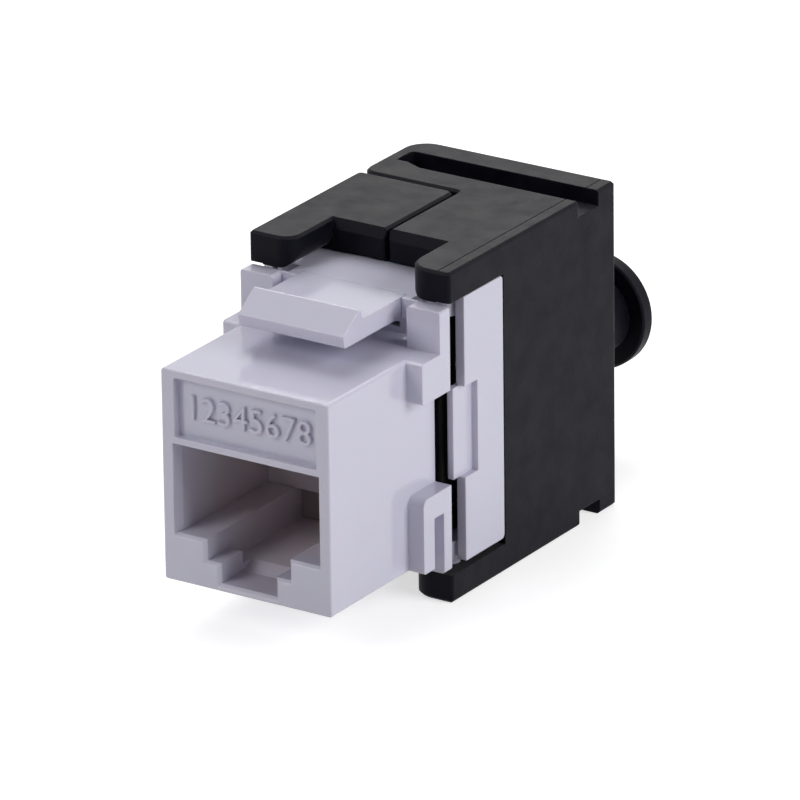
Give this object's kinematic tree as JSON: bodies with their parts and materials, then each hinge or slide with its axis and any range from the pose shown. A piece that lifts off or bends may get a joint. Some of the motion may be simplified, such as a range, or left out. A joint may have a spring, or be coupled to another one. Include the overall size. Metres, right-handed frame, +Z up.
{
  "type": "keystone jack",
  "caption": "White snap-in keystone socket with a stepped plug port, sprung panel latch and side lugs, and a black rear cover whose two halves swing open.",
  "frame": {"origin": "middle of the plug port's mouth, in the plane of the port face", "axes": "+Y from the plug port to the cable, +Z up towards the latch arm, +X across"},
  "size_m": [0.0174, 0.0484, 0.0258],
  "materials": {
    "white_plastic": "satin moulded",
    "black_plastic": "fine spark texture",
    "gold_plate": "bright",
    "tin_plate": "satin",
    "circuit_board": "bare glass-fibre board"
  },
  "bodies": {
    "housing": {"front_housing": "white_plastic", "contact_carrier": "white_plastic", "circuit_board": "circuit_board", "idc_block": "black_plastic", "contact_spring_1": "gold_plate", "contact_spring_2": "gold_plate", "contact_spring_3": "gold_plate", "contact_spring_4": "gold_plate", "contact_spring_5": "gold_plate", "contact_spring_6": "gold_plate", "contact_spring_7": "gold_plate", "contact_spring_8": "gold_plate", "right_idc_blade_1": "tin_plate", "right_idc_blade_2": "tin_plate", "right_idc_blade_3": "tin_plate", "right_idc_blade_4": "tin_plate", "left_idc_blade_1": "tin_plate", "left_idc_blade_2": "tin_plate", "left_idc_blade_3": "tin_plate", "left_idc_blade_4": "tin_plate"},
    "latch": {"latch_arm": "white_plastic"},
    "right_half": {"right_shell": "black_plastic", "right_wire_guide": "white_plastic"},
    "left_half": {"left_shell": "black_plastic", "left_wire_guide": "white_plastic"}
  },
  "joints": [
    {"name": "latch_flex", "type": "hinge", "parent": "housing", "child": "latch", "pos_m": [0, 0.01375, 0.01167], "axis": [1, 0, 0], "range_deg": [0, 8], "stiffness_Nm_per_rad": 0.05},
    {"name": "right_half_swing", "type": "hinge", "parent": "housing", "child": "right_half", "pos_m": [0.0068, 0.0163, 0.0022], "axis": [0, 0, -1], "range_deg": [0, 90]},
    {"name": "left_half_swing", "type": "hinge", "parent": "housing", "child": "left_half", "pos_m": [-0.0068, 0.0163, 0.0022], "axis": [0, 0, 1], "range_deg": [0, 90]}
  ],
  "couplings": [
    {"joint": "left_half_swing", "follows": "right_half_swing", "ratio": 1}
  ]
}
